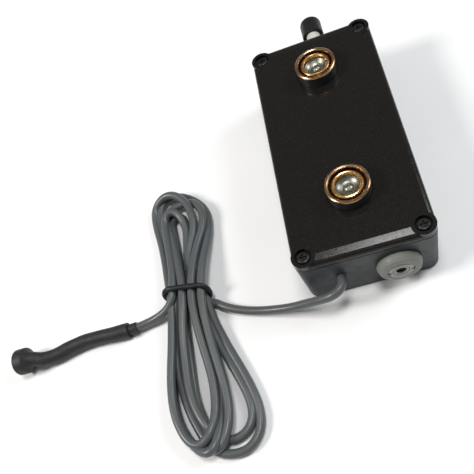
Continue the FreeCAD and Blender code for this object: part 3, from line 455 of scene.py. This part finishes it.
def moulded(name, colour, roughness, grain_mm, depth_mm, spread=0.25, **sockets):
    """Moulded plastic or rubber: an even grain, slight mottling and uneven gloss."""
    made = Shader(name, colour, roughness, **sockets)
    made.mottle(made.noise(9.0, 3.0), shade(colour, 1 - spread), shade(colour, 1 + spread))
    made.roughness(made.noise(2.4, 4.0), roughness - 0.06, roughness + 0.07)
    made.bump(made.noise(grain_mm, 3.0), depth_mm)
    return made


def machined(name, colour, roughness, centre, across, pitch_mm=0.08, depth_mm=0.0006):
    """Turned metal with fine ring marks round its axis."""
    made = Shader(name, colour, roughness, metallic=1.0)
    made.mottle(made.noise(1.8, 3.0), shade(colour, 0.88), shade(colour, 1.06))
    made.roughness(made.noise(0.9, 2.0), roughness - 0.04, roughness + 0.05)
    made.bump(made.turning_marks(centre, across, pitch_mm), depth_mm)
    return made


def sheet_metal(name, colour, roughness):
    """Plain bright metal with faint scuffs."""
    made = Shader(name, colour, roughness, metallic=1.0)
    made.mottle(made.noise(1.5, 4.0), shade(colour, 0.8), shade(colour, 1.1))
    made.roughness(made.noise(0.5, 3.0), roughness - 0.06, roughness + 0.1)
    made.bump(made.noise(0.25, 2.0), 0.004)
    return made


def centre_of(node):
    low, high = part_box(node)
    return (low + high) / 2


def dress(node_name, made):
    """Give a carried-over node its material in place of the plain one."""
    data = nodes[node_name].data
    if not data.materials:
        data.materials.append(made.material)
    for index in range(len(data.materials)):
        data.materials[index] = made.material


# case, lid and screws
case = Shader("case_plastic", (0.01, 0.0115, 0.0135), 0.42, Specular_IOR_Level=0.4)
case.mottle(case.noise(12.0, 3.0), (0.0075, 0.0115, 0.0145), (0.012, 0.0175, 0.0215))
case.roughness(case.noise(3.0, 4.0), 0.38, 0.5)
case.bump(case.noise(0.28, 3.0), 0.02)
lid = Shader("lid_plastic", (0.009, 0.008, 0.0072), 0.24, Specular_IOR_Level=0.35)
lid.colours(lid.noise(0.45, 3.0), [(0.35, (0.0065, 0.006, 0.0056)), (0.6, (0.011, 0.0095, 0.008)),
                                   (0.76, (0.03, 0.021, 0.014))])
lid.roughness(lid.noise(2.0, 4.0), 0.14, 0.22)
lid.bump(lid.noise(0.3, 3.0), 0.006)
screws = Shader("screw_finish", (0.02, 0.02, 0.021), 0.28, metallic=0.6)
screws.colours(screws.noise(0.8, 4.0), [(0.3, (0.014, 0.014, 0.015)),
                                        (0.75, (0.045, 0.045, 0.047))])
screws.bump(screws.noise(0.2, 2.0), 0.006)
dress("base_shell", case)
dress("lid", lid)
dress("lid_screws", screws)

# metals and the directions across the turned parts' axes
TIN = (0.72, 0.72, 0.7)
BRASS = (0.8, 0.68, 0.42)
ACROSS_UPRIGHT_AXIS = (1.0, 1.0, 0.0)
ACROSS_LONG_AXIS = (1.0, 0.0, 1.0)

# transducers
for side in ("transmitter", "receiver"):
    turned = {"centre": centre_of(side + "_can"), "across": ACROSS_UPRIGHT_AXIS}
    dress(side + "_can", machined(side + "_rim", (0.52, 0.31, 0.17), 0.24, **turned))
    dress(side + "_ring", machined(side + "_horn_ring", (0.72, 0.43, 0.17), 0.26, **turned))
    dress(side + "_cone", machined(side + "_horn", (0.27, 0.27, 0.23), 0.36, **turned,
                                   pitch_mm=0.4, depth_mm=0.004))
    dress(side + "_collar", moulded(side + "_sleeve", (0.018, 0.0185, 0.02), 0.42,
                                    grain_mm=0.35, depth_mm=0.012))
    dress(side + "_header", moulded(side + "_header", (0.05, 0.05, 0.05), 0.6,
                                    grain_mm=0.3, depth_mm=0.01))
    dress(side + "_plate", sheet_metal(side + "_plate", (0.75, 0.6, 0.35), 0.35))
    dress(side + "_pins", sheet_metal(side + "_pins", TIN, 0.3))

# audio jack
turned = {"centre": centre_of("jack_nut"), "across": ACROSS_LONG_AXIS}
dress("jack_surround", moulded("surround_rubber", (0.17, 0.176, 0.155), 0.5,
                               grain_mm=0.4, depth_mm=0.02, spread=0.08))
dress("jack_nut", machined("jack_nut_nickel", (0.29, 0.29, 0.278), 0.5, **turned))
dress("jack_bushing", machined("jack_bushing_nickel", (0.27, 0.27, 0.26), 0.5, **turned))
dress("jack_contact", sheet_metal("jack_contact_brass", BRASS, 0.25))
dress("jack_body", moulded("jack_body_plastic", (0.03, 0.03, 0.03), 0.5,
                           grain_mm=0.3, depth_mm=0.01))
dress("jack_lugs", sheet_metal("jack_lug_tin", TIN, 0.32))

# range control
turned = {"centre": centre_of("range_knob"), "across": ACROSS_LONG_AXIS}
dress("range_knob", moulded("knob_plastic", (0.01, 0.01, 0.0105), 0.4,
                            grain_mm=0.3, depth_mm=0.015, Specular_IOR_Level=0.35))
dress("control_shaft", moulded("shaft_nylon", (0.58, 0.58, 0.52), 0.42,
                               grain_mm=0.5, depth_mm=0.01, spread=0.06))
for name in ("control_bushing", "control_nut", "control_washer", "control_cover"):
    dress(name, machined(name + "_steel", (0.6, 0.6, 0.58), 0.32, **turned))
dress("control_track", moulded("track_laminate", (0.3, 0.18, 0.09), 0.55,
                               grain_mm=0.2, depth_mm=0.01))
dress("control_wiper", sheet_metal("wiper_brass", BRASS, 0.3))
dress("control_lugs", sheet_metal("control_lug_tin", TIN, 0.32))

# electronics, and the capsule in the head
BOARD = {
    "circuit_board": (0.05, 0.24, 0.12), "amplifier_chip": (0.03, 0.03, 0.03),
    "controller_chip": (0.03, 0.03, 0.03), "voltage_regulator": (0.03, 0.03, 0.03),
    "capacitors": (0.06, 0.1, 0.3), "resistors": (0.62, 0.5, 0.33),
    "driver_transformer": (0.14, 0.14, 0.14), "lead_header": (0.7, 0.68, 0.6),
    "battery_pad": (0.25, 0.25, 0.25), "strain_tie": (0.75, 0.75, 0.7),
    "lead_bush": (0.02, 0.02, 0.022), "lead_inside": (0.2, 0.215, 0.225)}
for name, colour in BOARD.items():
    dress(name, moulded(name + "_finish", colour, 0.45, grain_mm=0.3, depth_mm=0.012,
                        spread=0.12))
METAL = {
    "crystal": (0.7, 0.7, 0.7), "board_screws": (0.7, 0.7, 0.68),
    "battery_cell": (0.6, 0.62, 0.65), "capsule_cup": (0.6, 0.6, 0.6),
    "capsule_cover": (0.6, 0.6, 0.6), "capsule_rotor": (0.5, 0.45, 0.4)}
for name, colour in METAL.items():
    dress(name, sheet_metal(name + "_finish", colour, 0.32))

# cable, ring and sleeves
jacket = Shader("cable_jacket", (0.088, 0.096, 0.1), 0.32, Specular_IOR_Level=0.45)
jacket.mottle(jacket.noise(14.0, 3.0), (0.088, 0.092, 0.088), (0.087, 0.099, 0.107))
jacket.roughness(jacket.noise(1.6, 3.0), 0.28, 0.37)
jacket.bump(jacket.noise(0.4, 3.0), 0.012)
rubber = moulded("ring_rubber", (0.008, 0.0105, 0.012), 0.42, grain_mm=0.35, depth_mm=0.015,
                 Specular_IOR_Level=0.4)
shrink = Shader("shrink_sleeve", (0.02, 0.02, 0.0215), 0.55, Specular_IOR_Level=0.35)
shrink.mottle(shrink.noise(1.3, 4.0), (0.014, 0.014, 0.0155), (0.027, 0.027, 0.028))
shrink.roughness(shrink.noise(1.0, 3.0), 0.5, 0.62)
shrink.bump(shrink.noise(0.5, 3.0), 0.03)

cable.data.materials.append(jacket.material)
tie.data.materials.append(rubber.material)
for piece in (inner_sleeve, outer_sleeve, head):
    piece.data.materials.append(shrink.material)

# ------------------------------------------------------------------ riding the case, and hiding the carried-over parts that these stand for
for piece, slot, stands_for in (
        (cable, "cord_grey", ("cable_lead", "cable_hank", "cable_tail")),
        (tie, "tie_black", ("hank_tie",)), (inner_sleeve, "sleeve_black", ("inner_sleeve",)),
        (outer_sleeve, "sleeve_black", ("outer_sleeve",)), (head, "sleeve_black", ("head_cap",))):
    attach(piece, "case")
    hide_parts(*stands_for)

# ------------------------------------------------------------------ floor and light
FLOOR_HALF_SIDE = 3.0
FLOOR_Z = -0.1 * MM     # just under the part, so that the two never share a plane

floor_bm = bmesh.new()
bmesh.ops.create_grid(floor_bm, x_segments=2, y_segments=2, size=FLOOR_HALF_SIDE)
floor = mesh_piece("floor", floor_bm)
floor.location.z = FLOOR_Z
paper = Shader("floor_paper", (0.9, 0.9, 0.9), 0.9)
paper.mottle(paper.noise(60.0, 2.0), (0.88, 0.88, 0.88), (0.92, 0.92, 0.92))
floor.data.materials.append(paper.material)

world = bpy.data.worlds.new("studio")
world.use_nodes = True
background = world.node_tree.nodes["Background"]
background.inputs["Color"].default_value = (1.0, 1.0, 1.0, 1.0)
background.inputs["Strength"].default_value = 0.19
scene.world = world


def soft_light(name, spot, aim, width, watts, colour=(1.0, 1.0, 1.0)):
    """A round area light, width metres across, that faces aim from spot."""
    data = bpy.data.lights.new(name, "AREA")
    data.shape = "DISK"
    data.size = width
    data.energy = watts
    data.color = colour
    lamp = link(bpy.data.objects.new(name, data))
    lamp.location = spot
    lamp.rotation_euler = (Vector(aim) - Vector(spot)).to_track_quat("-Z", "Y").to_euler()


soft_light("left_light", spot=(-0.75, -0.1, 0.7), aim=(-0.03, -0.02, 0.0), width=0.3, watts=6.0,
           colour=(1.0, 0.98, 0.95))
soft_light("overhead_light", spot=(0.05, -0.02, 0.85), aim=(-0.02, -0.04, 0.0), width=0.25,
           watts=3.1)
soft_light("right_light", spot=(0.7, 0.2, 0.6), aim=(-0.02, -0.04, 0.0), width=0.45, watts=3.4,
           colour=(0.93, 0.97, 1.0))
